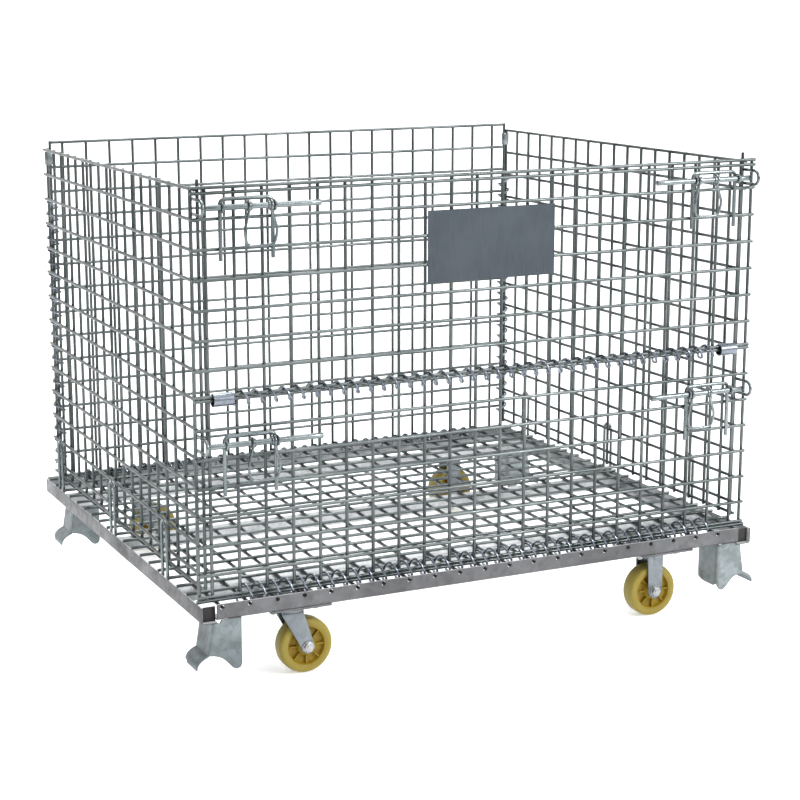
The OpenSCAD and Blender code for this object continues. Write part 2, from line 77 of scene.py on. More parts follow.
class Graph:
    """A node material, with short calls for the textures used below. All coordinates are metres."""

    def __init__(self, name):
        self.material = bpy.data.materials.new(name)
        self.material.use_nodes = True
        self.tree = self.material.node_tree
        self.bsdf = self.tree.nodes["Principled BSDF"]
        self.place = self.add("ShaderNodeTexCoord").outputs["Object"]

    def add(self, kind, **settings):
        node = self.tree.nodes.new(kind)
        for key, value in settings.items():
            setattr(node, key, value)
        return node

    def feed(self, socket, value):
        if isinstance(value, bpy.types.NodeSocket):
            self.tree.links.new(value, socket)
        else:
            socket.default_value = value

    def stretched(self, scale, offset=(0, 0, 0)):
        mapping = self.add("ShaderNodeMapping")
        self.feed(mapping.inputs["Vector"], self.place)
        mapping.inputs["Scale"].default_value = scale
        mapping.inputs["Location"].default_value = offset
        return mapping.outputs["Vector"]

    def noise(self, scale, detail=3.0, stretch=None, offset=(0, 0, 0)):
        node = self.add("ShaderNodeTexNoise")
        self.feed(node.inputs["Vector"], self.stretched(stretch or (1, 1, 1), offset))
        node.inputs["Scale"].default_value = scale
        node.inputs["Detail"].default_value = detail
        node.inputs["Roughness"].default_value = 0.6
        return node.outputs["Fac"]

    def cells(self, scale):
        node = self.add("ShaderNodeTexVoronoi")
        self.feed(node.inputs["Vector"], self.place)
        node.inputs["Scale"].default_value = scale
        parts = self.add("ShaderNodeSeparateColor")
        self.feed(parts.inputs["Color"], node.outputs["Color"])
        return parts.outputs["Red"]

    def spread(self, value, low, high, out_low=0.0, out_high=1.0):
        node = self.add("ShaderNodeMapRange")
        self.feed(node.inputs["Value"], value)
        node.inputs["From Min"].default_value = low
        node.inputs["From Max"].default_value = high
        node.inputs["To Min"].default_value = out_low
        node.inputs["To Max"].default_value = out_high
        return node.outputs["Result"]

    def math(self, operation, a, b):
        node = self.add("ShaderNodeMath", operation=operation)
        self.feed(node.inputs[0], a)
        self.feed(node.inputs[1], b)
        return node.outputs[0]

    def mix(self, factor, a, b, blend="MIX"):
        node = self.add("ShaderNodeMix", data_type="RGBA", blend_type=blend)
        color_a, color_b = (socket for socket in node.inputs if socket.identifier in ("A_Color", "B_Color"))
        self.feed(node.inputs["Factor"], factor)
        self.feed(color_a, a if isinstance(a, bpy.types.NodeSocket) else (*a, 1))
        self.feed(color_b, b if isinstance(b, bpy.types.NodeSocket) else (*b, 1))
        return next(socket for socket in node.outputs if socket.identifier == "Result_Color")

    def bump(self, height, distance, strength=1.0, edge=0.0):
        node = self.add("ShaderNodeBump")
        node.inputs["Strength"].default_value = strength
        node.inputs["Distance"].default_value = distance
        self.feed(node.inputs["Height"], height)
        if edge:
            bevel = self.add("ShaderNodeBevel", samples=4)
            bevel.inputs["Radius"].default_value = edge
            self.feed(node.inputs["Normal"], bevel.outputs["Normal"])
        self.feed(self.bsdf.inputs["Normal"], node.outputs["Normal"])

    def finish(self, color, roughness, metallic=0.0):
        self.feed(self.bsdf.inputs["Base Color"], color)
        self.feed(self.bsdf.inputs["Roughness"], roughness)
        self.feed(self.bsdf.inputs["Metallic"], metallic)
        return self.material


def zinc(name, dark, light, rough, spangle=0.0, edge=0.0, metallic=0.9, cut=None):
    """Galvanised steel: broad tint changes, fine mottling, optional crystal spangle and dull stains.
    With cut, everything in front of that y is painted near-black: painted shade on the wire ends that sit in
    the front rail's holes."""
    g = Graph(name)
    broad = g.spread(g.noise(7, 2), 0.35, 0.65)
    fine = g.spread(g.noise(420, 4), 0.3, 0.7)
    color = g.mix(broad, dark, light)
    color = g.mix(g.math("MULTIPLY", fine, 0.45), color, tuple(0.6 * c for c in light))
    if spangle:
        crystal = g.spread(g.cells(95), 0.0, 1.0, 1 - spangle, 1 + spangle)
        tone = g.add("ShaderNodeCombineColor")
        for channel in ("Red", "Green", "Blue"):
            g.feed(tone.inputs[channel], crystal)
        color = g.mix(1.0, color, tone.outputs["Color"], "MULTIPLY")
    dull = g.spread(g.noise(23, 5, offset=(3, 1, 2)), 0.56, 0.72, 0.0, 0.55)
    color = g.mix(dull, color, (0.10, 0.11, 0.10))
    if cut is not None:
        # painted shade: near-black on everything in front of the cut y
        ahead = g.add("ShaderNodeSeparateXYZ")
        g.feed(ahead.inputs["Vector"], g.stretched((1, 1, 1)))
        color = g.mix(g.math("LESS_THAN", ahead.outputs["Y"], cut), color, (0.012, 0.011, 0.010))
    worn = g.spread(g.noise(60, 3), 0.3, 0.7, rough - 0.09, rough + 0.1)
    roughness = g.math("ADD", worn, g.math("MULTIPLY", dull, 0.25))
    g.bump(g.noise(900, 3), 0.00012, 0.5, edge)
    return g.finish(color, roughness, metallic)


def brushed_plate(name):
    """Blank sheet with an upright brushed grain and soft smears, its edges rounded in the shading."""
    g = Graph(name)
    grain = g.spread(g.noise(30, 4, stretch=(22, 22, 0.9)), 0.3, 0.7)
    smear = g.spread(g.noise(11, 3), 0.38, 0.66)
    color = g.mix(grain, (0.037, 0.046, 0.057), (0.054, 0.065, 0.077))
    color = g.mix(g.math("MULTIPLY", smear, 0.35), color, (0.076, 0.090, 0.104))
    g.bump(grain, 0.00006, 0.6, 0.0006)
    return g.finish(color, g.spread(grain, 0, 1, 0.40, 0.52), 0.6)


def polyurethane(name, centre):
    """Cast yellow tread: amber towards the hub, paler and scuffed on the rolling face."""
    g = Graph(name)
    offset = g.stretched((1, 0, 1), (-centre.x, 0, -centre.z))
    length = g.add("ShaderNodeVectorMath", operation="LENGTH")
    g.feed(length.inputs[0], offset)
    radial = g.spread(length.outputs["Value"], 0.018, 0.047)
    mottle = g.spread(g.noise(45, 4), 0.3, 0.7)
    color = g.mix(radial, (0.175, 0.116, 0.007), (0.245, 0.190, 0.030))
    color = g.mix(g.math("MULTIPLY", mottle, 0.35), color, (0.300, 0.252, 0.068))
    scuff = g.spread(g.noise(160, 5), 0.56, 0.7, 0.0, 0.5)
    rolling = g.spread(length.outputs["Value"], 0.0478, 0.0492)
    color = g.mix(g.math("MULTIPLY", scuff, rolling), color, (0.20, 0.17, 0.12))
    g.feed(g.bsdf.inputs["Specular IOR Level"], 0.25)
    g.feed(g.bsdf.inputs["Subsurface Weight"], 0.18)
    g.feed(g.bsdf.inputs["Subsurface Radius"], (0.006, 0.004, 0.0015))
    g.feed(g.bsdf.inputs["Subsurface Scale"], 1.0)
    g.bump(g.noise(520, 3), 0.0001, 0.4)
    return g.finish(color, g.spread(mottle, 0, 1, 0.34, 0.5))


def nylon(name):
    """Amber hub core of a wheel."""
    g = Graph(name)
    mottle = g.spread(g.noise(90, 4), 0.3, 0.7)
    g.feed(g.bsdf.inputs["Specular IOR Level"], 0.25)
    g.bump(g.noise(700, 3), 0.0001, 0.5, 0.0006)
    color = g.mix(mottle, (0.185, 0.112, 0.004), (0.255, 0.170, 0.008))
    return g.finish(color, g.spread(mottle, 0, 1, 0.35, 0.5))


WORN_EDGE = 0.8 * MM
# the wire ends in front of the front rail are painted near-black, painted shade in the rail's holes
WIRE = zinc("zinc_wire_finish", (0.062, 0.074, 0.075), (0.140, 0.156, 0.156), 0.33, cut=-473.6 * MM)
SHEET_ZINC = zinc("zinc_sheet_finish", (0.092, 0.092, 0.096), (0.150, 0.151, 0.156), 0.42, 0.12, WORN_EDGE)
# painted shade: a near-black finish for the closing plates, standing in for the shade inside the side rails'
# front ends
CLOSER_PAINTED_SHADE = zinc("rail_closer_painted_shade_finish", (0.030, 0.028, 0.028), (0.055, 0.052, 0.052), 0.60)
# painted light: a pale zinc that stands in for light on the cross channels, which lie in shade under the floor
# mesh, and on the rails' upward and inward faces
CHANNEL_PAINTED_LIGHT = zinc("channel_painted_light_finish", (0.48, 0.49, 0.50), (0.62, 0.63, 0.64), 0.50, 0.10, metallic=0.5)
FOOT_ZINC = zinc("foot_zinc_finish", (0.140, 0.164, 0.170), (0.235, 0.266, 0.272), 0.44, 0.14, WORN_EDGE)
SPRING = zinc("spring_wire_finish", (0.105, 0.122, 0.148), (0.240, 0.265, 0.305), 0.25)
LATCH = zinc("latch_wire_finish", (0.120, 0.142, 0.147), (0.255, 0.285, 0.290), 0.24)
CASTER = zinc("caster_zinc_finish", (0.140, 0.161, 0.176), (0.210, 0.232, 0.246), 0.38, 0.10, WORN_EDGE)
FASTENER = zinc("fastener_finish", (0.26, 0.26, 0.26), (0.42, 0.42, 0.42), 0.30, edge=0.6 * MM)
PLATE = brushed_plate("name_plate_finish")
HUB = nylon("hub_finish")


# ---------------------------------------------------------------- mesh helpers

def add_mesh(name, verts, faces, material, body, stands_for=(), smooth=35.0, sheet=False):
    """Makes a piece from vertices and faces, with smooth shading broken at sharp edges.
    A sheet is open and keeps its faces' winding; anything else gets its normals turned outwards."""
    mesh = bpy.data.meshes.new(name)
    mesh.from_pydata([tuple(v) for v in verts], [], [tuple(f) for f in faces])
    if not sheet:
        clean = bmesh.new()
        clean.from_mesh(mesh)
        bmesh.ops.remove_doubles(clean, verts=clean.verts, dist=1e-7)
        bmesh.ops.recalc_face_normals(clean, faces=clean.faces)
        clean.to_mesh(mesh)
        clean.free()
    mesh.shade_smooth()
    mesh.set_sharp_from_angle(angle=math.radians(smooth))
    mesh.materials.append(material)
    piece = bpy.data.objects.new(name, mesh)
    bpy.context.scene.collection.objects.link(piece)
    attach(piece, body)
    if stands_for:
        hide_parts(*stands_for)
    return piece


def tube(paths, radius, sides=12, closed=False, chamfer=0.45 * MM):
    """Vertices and faces of round wires that follow the given paths, with chamfered ends."""
    verts = []
    faces = []
    for path in paths:
        path = np.asarray(path, float)
        radii = np.full(len(path), radius)
        if not closed:
            first = path[0] + (path[1] - path[0]) / np.linalg.norm(path[1] - path[0]) * chamfer
            last = path[-1] + (path[-2] - path[-1]) / np.linalg.norm(path[-2] - path[-1]) * chamfer
            path = np.vstack([path[:1], [first], path[1:-1], [last], path[-1:]])
            radii = np.concatenate([[radius - chamfer], np.full(len(path) - 2, radius), [radius - chamfer]])
        ring_count = len(path)
        if closed:
            tangents = np.roll(path, -1, 0) - np.roll(path, 1, 0)
        else:
            tangents = np.gradient(path, axis=0)
        tangents /= np.linalg.norm(tangents, axis=1)[:, None]
        normal = np.cross(tangents[0], (0.31, 0.52, 0.79))
        start = len(verts)
        for i in range(ring_count):
            normal = normal - tangents[i] * (normal @ tangents[i])
            normal /= np.linalg.norm(normal)
            side = np.cross(tangents[i], normal)
            for k in range(sides):
                angle = 2 * math.pi * k / sides
                verts.append(path[i] + radii[i] * (math.cos(angle) * normal + math.sin(angle) * side))
        shift = 0
        if closed:
            ends = np.array(verts[start:start + sides])
            wrap = path[0] + radius * normal
            shift = int(np.argmin(np.linalg.norm(ends - wrap, axis=1)))
        for i in range(ring_count if closed else ring_count - 1):
            j = (i + 1) % ring_count
            turn = shift if closed and j == 0 else 0
            for k in range(sides):
                a = start + i * sides + k
                b = start + i * sides + (k + 1) % sides
                c = start + j * sides + (k + 1 + turn) % sides
                d = start + j * sides + (k + turn) % sides
                faces.append((a, b, c, d))
        if not closed:
            faces.append(tuple(start + k for k in reversed(range(sides))))
            faces.append(tuple(start + (ring_count - 1) * sides + k for k in range(sides)))
    return verts, faces


def round_path(points, radius, steps=5, closed=False):
    """A polyline whose corners are rounded with arcs of about the given radius."""
    points = [np.asarray(p, float) for p in points]
    count = len(points)
    out = []
    for i, corner in enumerate(points):
        if not closed and i in (0, count - 1):
            out.append(corner)
            continue
        before = points[(i - 1) % count] - corner
        after = points[(i + 1) % count] - corner
        reach = min(radius, 0.49 * np.linalg.norm(before), 0.49 * np.linalg.norm(after))
        a = corner + before / np.linalg.norm(before) * reach
        b = corner + after / np.linalg.norm(after) * reach
        for k in range(steps + 1):
            t = k / steps
            out.append((1 - t) ** 2 * a + 2 * t * (1 - t) * corner + t ** 2 * b)
    return np.array(out)


def lathe(profile, axis, centre, steps=64):
    """Turns a closed (along, radius) outline about a line through centre."""
    axis = Vector(axis).normalized()
    up = Vector((0, 0, 1)) if abs(axis.z) < 0.9 else Vector((1, 0, 0))
    right = axis.cross(up).normalized()
    up = right.cross(axis)
    verts = []
    for k in range(steps):
        angle = 2 * math.pi * k / steps
        out = right * math.cos(angle) + up * math.sin(angle)
        for along, radius in profile:
            verts.append(Vector(centre) + axis * along + out * radius)
    count = len(profile)
    faces = []
    for k in range(steps):
        for i in range(count):
            a = k * count + i
            b = k * count + (i + 1) % count
            c = (k + 1) % steps * count + (i + 1) % count
            d = (k + 1) % steps * count + i
            faces.append((a, b, c, d))
    return verts, faces


def extrude(outline, place, length, steps=1):
    """Extrudes a closed 2D outline; place(u, v, w) gives the point for outline (u, v) and depth w."""
    count = len(outline)
    verts = [place(u, v, length * k / steps) for k in range(steps + 1) for u, v in outline]
    faces = [
        (k * count + i, k * count + (i + 1) % count, (k + 1) * count + (i + 1) % count, (k + 1) * count + i)
        for k in range(steps)
        for i in range(count)
    ]
    faces.append(tuple(range(count)))
    faces.append(tuple(steps * count + i for i in reversed(range(count))))
    return verts, faces


def bevel(width, segments=2, angle=50):
    """A bevel of the sharp edges, for modify()."""
    return "BEVEL", dict(width=width, segments=segments, limit_method="ANGLE", angle_limit=math.radians(angle))


def solidify(thickness, offset=-1.0):
    """Gives an open sheet its thickness, for modify()."""
    return "SOLIDIFY", dict(thickness=thickness, offset=offset, use_even_offset=True)


def modify(piece, *modifiers):
    """Adds and applies modifiers, each given as (kind, settings)."""
    for kind, settings in modifiers:
        modifier = piece.modifiers.new(kind, kind)
        for key, value in settings.items():
            setattr(modifier, key, value)
    graph = bpy.context.evaluated_depsgraph_get()
    mesh = bpy.data.meshes.new_from_object(piece.evaluated_get(graph))
    piece.modifiers.clear()
    old = piece.data
    piece.data = mesh
    mesh.name = old.name + "_done"
    mesh.shade_smooth()
    mesh.set_sharp_from_angle(angle=math.radians(35))
    return piece


def join(parts):
    """Joins (verts, faces) pairs into one pair."""
    verts = []
    faces = []
    for part_verts, part_faces in parts:
        start = len(verts)
        verts += list(part_verts)
        faces += [tuple(start + i for i in face) for face in part_faces]
    return verts, faces


# ---------------------------------------------------------------- straight mesh wires

def straight_wires(node):
    """(start, end) of every straight wire in a CAD node, found as its separate shells."""
    mesh = nodes[node].data
    points = np.array([v.co for v in mesh.vertices], float)
    keys = {}
    group = [keys.setdefault(tuple(k), len(keys)) for k in np.round(points * 1e6).astype(int)]
    parent = list(range(len(keys)))

    def root(i):
        while parent[i] != i:
            parent[i] = parent[parent[i]]
            i = parent[i]
        return i

    for edge in mesh.edges:
        parent[root(group[edge.vertices[0]])] = root(group[edge.vertices[1]])
    shells = {}
    for i, g in enumerate(group):
        shells.setdefault(root(g), []).append(points[i])
    wires = []
    for shell in shells.values():
        low = np.min(shell, 0)
        high = np.max(shell, 0)
        along = int(np.argmax(high - low))
        start = (low + high) / 2
        end = start.copy()
        start[along] = low[along]
        end[along] = high[along]
        wires.append((along, start, end))
    return sorted(wires, key=lambda w: (w[0], *np.round(w[1], 5)))


def drawn_path(start, end):
    """A wire as it leaves the straightening rolls: straight to within a few hundredths of a millimetre."""
    length = np.linalg.norm(end - start)
    steps = max(4, int(length / (0.5 * PITCH)))
    t = np.linspace(0, 1, steps + 1)
    path = start + np.outer(t, end - start)
    along = int(np.argmax(np.abs(end - start)))
    for axis in range(3):
        if axis != along:
            phase, waves = rng.uniform(0, 6.28), rng.uniform(2, 6)
            path[:, axis] += 0.02 * MM * np.sin(waves * t * 6.28 + phase)
    return path


def weld_points(wires):
    """Where two wires of a panel cross, and the direction from one to the other."""
    spots = []
    for i, (along_a, start_a, end_a) in enumerate(wires):
        for along_b, start_b, end_b in wires[i + 1:]:
            if along_a == along_b:
                continue
            across = 3 - along_a - along_b
            apart = start_b[across] - start_a[across]
            if abs(abs(apart) - 2 * WIRE_R) > 0.3 * MM:
                continue
            spot = np.zeros(3)
            spot[along_a] = start_b[along_a]
            spot[along_b] = start_a[along_b]
            spot[across] = start_a[across] + apart / 2
            inside_a = start_a[along_a] - MM < spot[along_a] < end_a[along_a] + MM
            inside_b = start_b[along_b] - MM < spot[along_b] < end_b[along_b] + MM
            if inside_a and inside_b:
                spots.append((spot, across))
    return spots


def nugget(spot, across):
    """A squeezed collar of metal that fills the corner where two wires are welded."""
    verts = []
    faces = []
    rings, sides = 4, 10
    wide = rng.uniform(2.3, 2.75) * MM
    flat = rng.uniform(1.15, 1.5) * MM
    others = [a for a in range(3) if a != across]
    for i in range(rings + 1):
        tilt = -math.pi / 2 + math.pi * (i + 0.5) / (rings + 1)
        for k in range(sides):
            angle = 2 * math.pi * k / sides
            squeeze = 1 + 0.12 * math.cos(4 * angle)
            point = np.array(spot)
            point[across] += flat * math.sin(tilt)
            point[others[0]] += wide * squeeze * math.cos(tilt) * math.cos(angle)
            point[others[1]] += wide * squeeze * math.cos(tilt) * math.sin(angle)
            verts.append(point)
    for i in range(rings):
        for k in range(sides):
            j = (k + 1) % sides
            faces.append((i * sides + k, i * sides + j, (i + 1) * sides + j, (i + 1) * sides + k))
    faces.append(tuple(reversed(range(sides))))
    faces.append(tuple(rings * sides + k for k in range(sides)))
    return verts, faces


def wire_mesh(node, body, name):
    """The drawn wires of one CAD node as one piece; returns where they run."""
    wires = straight_wires(node)
    verts, faces = tube([drawn_path(start, end) for _, start, end in wires], WIRE_R)
    add_mesh(name, verts, faces, WIRE, body, (node,))
    return wires


def welds(wires, body, name):
    """The weld nuggets of one panel as one piece."""
    verts, faces = join(nugget(spot, across) for spot, across in weld_points(wires))
    add_mesh(name, verts, faces, WIRE, body, ())


def make_panels():
    floor = wire_mesh("floor_cross_wires", "base", "floor_cross_wires_drawn")
    floor += wire_mesh("floor_long_wires", "base", "floor_long_wires_drawn")
    welds(floor, "base", "floor_welds")
    for node, body in (("back_panel", "base"), ("left_panel", "base"), ("right_panel", "base"),
                       ("lower_panel", "lower_front"), ("gate_panel", "gate")):
        welds(wire_mesh(node, body, node + "_wires"), body, node + "_welds")


# ---------------------------------------------------------------- spiral hinges

def coil_path(turns, radius, start, along, side, up):
    """The centre line of a spiral wire; along is its axis, and it starts opposite to up."""
    tall = math.hypot(radius, COIL_PITCH / 4)
    start, along, side, up = (np.array(v, float) for v in (start, along, side, up))
    path = []
    steps = 14
    for half in range(2 * turns):
        flip = 1 if half % 2 == 0 else -1
        for k in range(steps):
            angle = math.pi * k / steps
            ahead = half * COIL_PITCH / 2 + COIL_PITCH / 4 * (1 - math.cos(angle))
            sideways = flip * tall * math.sin(angle)
            upwards = -flip * radius * math.cos(angle)
            path.append(start + ahead * along + sideways * side + upwards * up)
    return path


def spiral(node, body, along, side, up, radius=COIL_R):
    """Replaces a CAD spiral with a smooth wound wire that keeps its phase and clearances."""
    low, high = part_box(node)
    centre = (low + high) / 2
    axis = int(np.argmax(np.abs(along)))
    turns = round((high[axis] - low[axis]) / COIL_PITCH)
    start = centre.copy()
    start[axis] = centre[axis] - turns * COIL_PITCH / 2
    path = coil_path(turns, radius, start, along, side, up)
    verts, faces = tube([path], COIL_WIRE_R, 10)
    add_mesh(node + "_wound", verts, faces, SPRING, body, (node,))


def make_spirals():
    across = dict(along=(1, 0, 0), side=(0, 1, 0), up=(0, 0, 1))
    spiral("front_floor_spiral", "base", **across, radius=FLOOR_COIL_R)
    spiral("back_floor_spiral", "base", **across)
    spiral("gate_spiral", "lower_front", **across)
    spiral("right_corner_spiral", "base", along=(0, 0, 1), side=(0, 1, 0), up=(-1, 0, 0))
    spiral("left_corner_spiral", "base", along=(0, 0, 1), side=(0, 1, 0), up=(1, 0, 0))


# ---------------------------------------------------------------- base frame

def angle_outline(width, height, sheet, inner=2.0 * MM):
    """Outline of a rolled angle: a flange along u and a web along v, meeting in a rounded heel."""
    outer = inner + sheet
    outline = [(width, 0.0), (width, sheet)]
    for k in range(7):
        a = -math.pi / 2 - math.pi / 2 * k / 6
        outline.append((outer + inner * math.cos(a), outer + inner * math.sin(a)))
    outline += [(sheet, height), (0.0, height)]
    for k in range(9):
        a = math.pi + math.pi / 2 * k / 8
        outline.append((outer + outer * math.cos(a), outer + outer * math.sin(a)))
    return outline


def painted_light_faces(rail, inward):
    """Gives the faces of a rail that look up or inwards the pale channel colour: painted light on the rail's
    upward and inward faces.
    """
    rail.data.materials.append(CHANNEL_PAINTED_LIGHT)
    for face in rail.data.polygons:
        if face.normal.z > 0.7 or face.normal.dot(Vector(inward)) > 0.7:
            face.material_index = 1


def side_rail(node, side):
    """A rolled angle with a closing plate set back in its front end; the plate is near-black, painted shade
    for the dark inside of the rail's end.
    """
    low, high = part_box(node)
    outline = angle_outline(high.x - low.x, high.z - low.z, SHEET)
    outer = high.x if side > 0 else low.x

    def place(u, v, w):
        return (outer - side * u, low.y + w, low.z + v)

    verts, faces = extrude(outline, place, high.y - low.y, 12)
    rail = add_mesh(node + "_rolled", verts, faces, SHEET_ZINC, "base", (node,))
    modify(rail, bevel(0.5 * MM))
    painted_light_faces(rail, (-side, 0, 0))

    def set_back(u, v, w):
        return place(u, v, w + CLOSER_SETBACK)

    width, top = high.x - low.x - 0.5 * MM, high.z - low.z - 2 * MM
    square = [(SHEET, SHEET), (width, SHEET), (width, top), (SHEET, top)]
    verts, faces = extrude(square, set_back, SHEET)
    # the closing plate carries painted shade: its near-black finish stands in for the shade inside the rail's
    # front end
    plate = add_mesh(node + "_closing_plate_painted_shade", verts, faces, CLOSER_PAINTED_SHADE, "base", (node,))
    modify(plate, bevel(0.5 * MM))


def end_rail(node, side):
    """Front or rear rail with a punched hole round the end of each long floor wire."""
    low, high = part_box(node)
    outline = angle_outline(high.y - low.y, high.z - low.z, SHEET)
    outer = high.y if side > 0 else low.y

    def place(u, v, w):
        return (low.x + w, outer - side * u, low.z + v)

    verts, faces = extrude(outline, place, high.x - low.x, 1)
    rail = add_mesh(node + "_rolled", verts, faces, SHEET_ZINC, "base", (node,))
    holes = []
    for _, start, end in straight_wires("floor_long_wires"):
        if low.x < start[0] < high.x and (side > 0 or start[1] < low.y + MM):
            profile = [(-5 * MM, 0.01 * MM), (-5 * MM, 4.1 * MM), (5 * MM, 4.1 * MM), (5 * MM, 0.01 * MM)]
            centre = (start[0], outer - side * SHEET / 2, start[2])
            holes.append(lathe(profile, (0, 1, 0), centre, 20))
    verts, faces = join(holes)
    cutter = bpy.data.meshes.new("cutter")
    cutter.from_pydata([tuple(v) for v in verts], [], faces)
    tool = bpy.data.objects.new("cutter", cutter)
    bpy.context.scene.collection.objects.link(tool)
    modify(rail, ("BOOLEAN", dict(object=tool, operation="DIFFERENCE", solver="EXACT")))
    painted_light_faces(rail, (0, -side, 0))
    bpy.data.objects.remove(tool)


def make_rails():
    side_rail("left_rail", -1)
    side_rail("right_rail", 1)
    end_rail("front_rail", -1)
    end_rail("rear_rail", 1)


# ---------------------------------------------------------------- feet

def arch_z(u):
    """Lower edge of a foot's front plate at distance u from the middle: a tongue inside, an arch outside."""
    across = (483, 484.8, 488, 493, 498, 503, 508, 514, 520, 527, 535, 545)
    height = (60, 54, 50, 48, 49, 52.8, 58.5, 65, 70, 73.6, 76, 77)
    return float(np.interp(u / MM, across, height)) * MM


def foot(node, side):
    """A stacking foot pressed from one sheet: a front plate, two flanges and a flared lip."""
    low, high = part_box(node)
    outer_x, inner_x = 545 * MM, 483 * MM
    bend = 6 * MM
    front_y = low.y
    back_y = high.y
    step_x = 528 * MM
    top_low, top_high = high.z - 5 * MM, high.z
    shoulder = 77 * MM
    low_z = low.z
    columns = []
    flange_steps = 8
    for k in range(flange_steps):
        y = back_y + (front_y + bend - back_y) * k / flange_steps
        columns.append(("outer", outer_x, y))
    for k in range(7):
        a = math.pi / 2 * k / 6
        kind = "outer" if k < 3 else "front"
        columns.append((kind, outer_x - bend + bend * math.cos(a), front_y + bend - bend * math.sin(a)))
    for u in np.linspace(outer_x - bend, inner_x + bend, 23)[1:-1]:
        columns.append(("front", float(u), front_y))
    for k in range(7):
        a = math.pi / 2 * k / 6
        columns.append(("front", inner_x + bend - bend * math.sin(a), front_y + bend - bend * math.cos(a)))
    for k in range(1, flange_steps + 1):
        y = front_y + bend + (back_y - front_y - bend) * k / flange_steps
        columns.append(("inner", inner_x, y))
    rows = 12
    lip_rows = 7
    grid = {}
    verts = []
    for c, (kind, u, y) in enumerate(columns):
        top = top_high if u < step_x else top_low
        if kind == "outer":
            floor_z = shoulder
        elif kind == "front":
            floor_z = arch_z(u)
        else:
            back = (y - front_y) / (back_y - front_y)
            floor_z = low_z + 7 * MM + 6 * MM * max(0, back - 0.6) ** 2 / 0.16
        for r in range(rows + 1):
            z = top + (floor_z - top) * r / rows
            draft = 9 * MM * max(0, z - shoulder) / (top_low - shoulder) * (u - inner_x) / (outer_x - inner_x)
            grid[c, r] = len(verts)
            verts.append((side * (u - draft), y, z))
        if kind == "outer":
            reach = 1.0 if c > 1 else 0.9
            for r in range(1, lip_rows + 1):
                t = r / lip_rows
                out = 22 * MM * math.sin(math.pi / 2 * t) * reach
                drop = (12 * t + 11 * t * t) * MM * reach
                grid[c, rows + r] = len(verts)
                verts.append((side * (outer_x + out), y, shoulder - drop))
    faces = []
    for c in range(len(columns) - 1):
        for r in range(rows + lip_rows):
            corners = [(c, r), (c + 1, r), (c + 1, r + 1), (c, r + 1)]
            if all(corner in grid for corner in corners):
                quad = tuple(grid[corner] for corner in corners)
                faces.append(quad if side > 0 else tuple(reversed(quad)))
    piece = add_mesh(node + "_pressed", verts, faces, FOOT_ZINC, "base", (node,), sheet=True)
    modify(piece, solidify(FOOT_SHEET), bevel(0.7 * MM))


def make_feet():
    foot("foot_front_left", -1)
    foot("foot_front_right", 1)
    foot("foot_rear_left", -1)
    foot("foot_rear_right", 1)


# ---------------------------------------------------------------- latches and bent wires

def bracket(paths, x, y, z):
    """Adds the bent wire of one latch bracket round the bolt at height z."""
    wire_y = y + 8.85 * MM
    top = z + 12.5 * MM
    low = z - 88 * MM
    left, right = x - BRACKET_HALF, x + BRACKET_HALF
    points = [(left, wire_y, low), (left, wire_y, top), (right, wire_y, top), (right, wire_y, low)]
    paths.append(round_path(points, 11 * MM, 7))


def ring(centre, radius, steps=28):
    """A closed loop round a line along X."""
    return [np.array(centre) + radius * np.array((0, math.cos(a), math.sin(a)))
            for a in np.linspace(0, 2 * math.pi, steps, endpoint=False)]


def latch_brackets(node, body, bolts):
    wires = []
    loops = []
    for bolt in bolts:
        low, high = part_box(bolt)
        y, z = (low.y + high.y) / 2, (low.z + high.z) / 2
        side = 1 if low.x > 0 else -1
        x = side * LATCH_X
        bracket(wires, x, y, z)
        for s in (-1, 1):
            loops.append(ring((x + s * BRACKET_HALF, y, z), BOLT_R + 2.4 * MM))
    bent = tube(wires, BRACKET_WIRE_R, 14)
    rings = tube(loops, 2 * MM, 10, closed=True)
    verts, faces = join([bent, rings])
    add_mesh(node + "_bent", verts, faces, LATCH, body, (node,))


def bolt(node, body):
    """A latch bolt with domed ends and its two pressed collars."""
    low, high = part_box(node)
    y, z = (low.y + high.y) / 2, (low.z + high.z) / 2
    length = high.x - low.x
    dome = 1.6 * MM
    tip = [(0, POINT), (0, BOLT_R - dome), (0.5 * MM, BOLT_R - 0.6 * MM), (dome, BOLT_R)]
    profile = tip + [(dome + (length - 2 * dome) * k / 10, BOLT_R) for k in range(1, 10)]
    profile += [(length - along, radius) for along, radius in reversed(tip)]
    parts = [lathe(profile, (1, 0, 0), (low.x, y, z), 32)]
    handle_low, handle_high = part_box(node.replace("bolt", "handle"))
    middle = (handle_low.x + handle_high.x) / 2
    for s in (-1, 1):
        edge = middle + s * 15.6 * MM
        collar = [(-1.5 * MM, BOLT_R - 0.3 * MM), (-1.5 * MM, 7.0 * MM), (-1.0 * MM, 7.5 * MM)]
        collar += [(-along, radius) for along, radius in reversed(collar)]
        parts.append(lathe(collar, (1, 0, 0), (edge, y, z), 32))
    verts, faces = join(parts)
    add_mesh(node + "_turned", verts, faces, LATCH, body, (node,))


